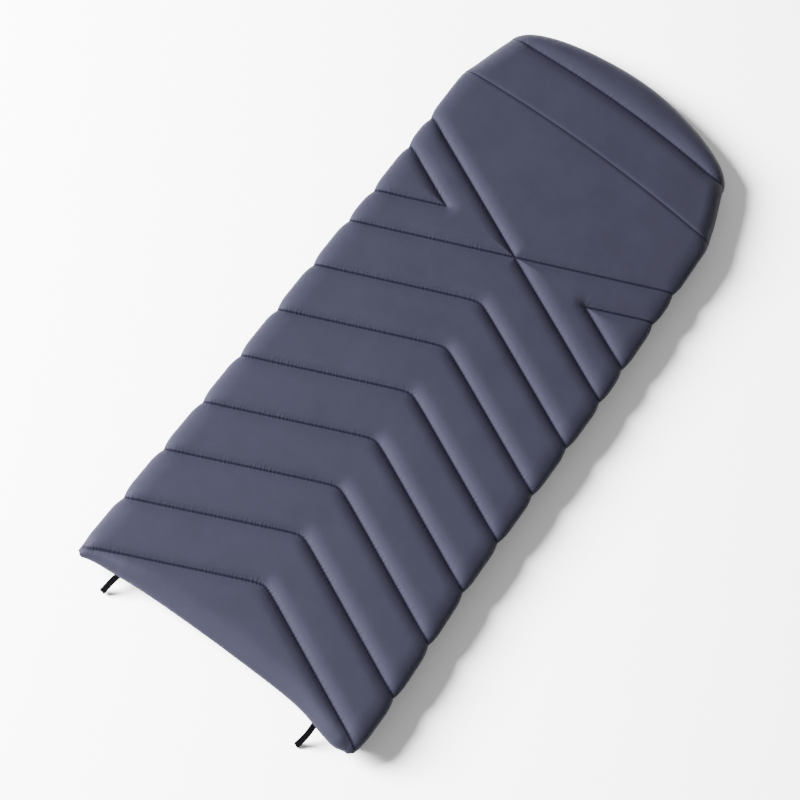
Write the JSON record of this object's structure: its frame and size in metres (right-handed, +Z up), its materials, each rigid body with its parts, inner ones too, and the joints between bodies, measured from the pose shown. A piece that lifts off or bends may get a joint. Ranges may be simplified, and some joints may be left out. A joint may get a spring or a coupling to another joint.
{
  "type": "sleeping bag",
  "caption": "Hooded semi-rectangular quilted sleeping bag lying on its front, with chevron seams, a side zip that opens it flat, and hang loops at the foot.",
  "frame": {"origin": "on the floor under the middle of the bag's box, hang loops included", "axes": "+Y from the foot to the hood, +X towards the seamed side, -X towards the zip, +Z up out of the bag's back"},
  "size_m": [0.89, 2.2712, 0.1055],
  "materials": {
    "shell_fabric": "slate blue-grey woven polyester taffeta with a faint sheen",
    "lining_fabric": "dark grey soft polyester lining",
    "wadding": "white hollow-fibre polyester wadding",
    "webbing": "black woven polyester tape",
    "coil_plastic": "black nylon zip coil",
    "zip_metal": "dark enamelled zinc slider, pull and stops"
  },
  "bodies": {
    "front_half": {"front_shell": "shell_fabric", "front_fill_1": "wadding", "front_fill_2": "wadding", "front_fill_3": "wadding", "front_fill_4": "wadding", "front_fill_5": "wadding", "front_fill_6": "wadding", "front_fill_7": "wadding", "front_lining": "lining_fabric", "side_seam": "shell_fabric", "foot_binding": "webbing", "front_zip_tape": "webbing", "front_zip_coil": "coil_plastic", "front_top_stop": "zip_metal", "zip_bottom_stop": "zip_metal", "chin_tab_patch": "webbing"},
    "back_half": {"foot_panel_shell": "shell_fabric", "body_panel_shell": "shell_fabric", "hood_panel_shell": "shell_fabric", "crown_panel_shell": "shell_fabric", "hood_rim_shell": "shell_fabric", "draught_tube": "shell_fabric", "draught_collar": "shell_fabric", "foot_fill": "wadding", "chevron_fill_1": "wadding", "chevron_fill_2": "wadding", "chevron_fill_3": "wadding", "chevron_fill_4": "wadding", "chevron_fill_5": "wadding", "chevron_fill_6": "wadding", "chevron_fill_7": "wadding", "cross_fill_left": "wadding", "cross_fill_right": "wadding", "wedge_fill_left": "wadding", "wedge_fill_right": "wadding", "yoke_fill": "wadding", "hood_fill": "wadding", "crown_fill": "wadding", "hood_rim_fill": "wadding", "hood_wall_fill": "wadding", "back_lining": "lining_fabric", "hood_lining": "lining_fabric", "hood_rim_lining": "lining_fabric", "hood_elastic": "webbing", "back_zip_tape": "webbing", "back_zip_coil": "coil_plastic", "back_top_stop": "zip_metal"},
    "zip_slider": {"zip_slider": "zip_metal"},
    "zip_pull": {"zip_pull": "zip_metal"},
    "chin_tab": {"chin_tab": "webbing"},
    "hang_loop_left": {"hang_loop_left": "webbing"},
    "hang_loop_right": {"hang_loop_right": "webbing"}
  },
  "joints": [
    {"name": "side_fold", "type": "hinge", "parent": "front_half", "child": "back_half", "pos_m": [0.446, 0, 0.05275], "axis": [0, 1, 0], "range_deg": [0, 180]},
    {"name": "slider_travel", "type": "slide", "parent": "front_half", "child": "zip_slider", "axis": [0, -1, 0], "range_m": [0, 1.64]},
    {"name": "pull_swing", "type": "hinge", "parent": "zip_slider", "child": "zip_pull", "pos_m": [-0.4303, 0.6786, 0.05275], "axis": [0, 0, -1], "range_deg": [0, 170]},
    {"name": "chin_tab_hinge", "type": "hinge", "parent": "back_half", "child": "chin_tab", "pos_m": [-0.4353, 0.7386, 0.08], "axis": [0, 1, 0], "range_deg": [0, 170]},
    {"name": "left_loop_swing", "type": "hinge", "parent": "front_half", "child": "hang_loop_left", "pos_m": [-0.328, -1.0754, 0.05275], "axis": [-1, 0, 0], "range_deg": [0, 115]},
    {"name": "right_loop_swing", "type": "hinge", "parent": "front_half", "child": "hang_loop_right", "pos_m": [0.328, -1.0754, 0.05275], "axis": [-1, 0, 0], "range_deg": [0, 115]}
  ]
}
